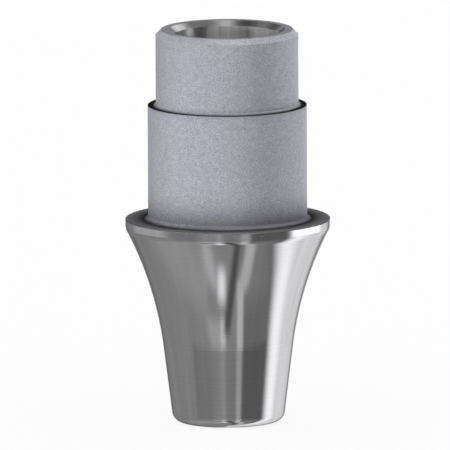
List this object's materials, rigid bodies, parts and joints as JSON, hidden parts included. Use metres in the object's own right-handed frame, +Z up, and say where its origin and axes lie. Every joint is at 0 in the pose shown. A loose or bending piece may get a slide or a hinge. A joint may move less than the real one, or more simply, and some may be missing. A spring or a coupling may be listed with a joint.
{
  "type": "dental abutment",
  "caption": "Round bonding base for an implant crown: tapered seat, trumpet-shaped collar with a flat shoulder, stepped cylindrical post and a central screw channel.",
  "frame": {"origin": "centre of the flat tip of the tapered seat, which is the lowest point of the part", "axes": "+Z up the turning axis, from the implant towards the crown; the part is round, so X and Y are free"},
  "size_m": [0.005, 0.005, 0.0097],
  "materials": {
    "titanium": "grey titanium: polished collar, taper and screw channel; fine-blasted post, crest and shoulder"
  },
  "bodies": {
    "root": {"abutment": "titanium"}
  },
  "joints": []
}
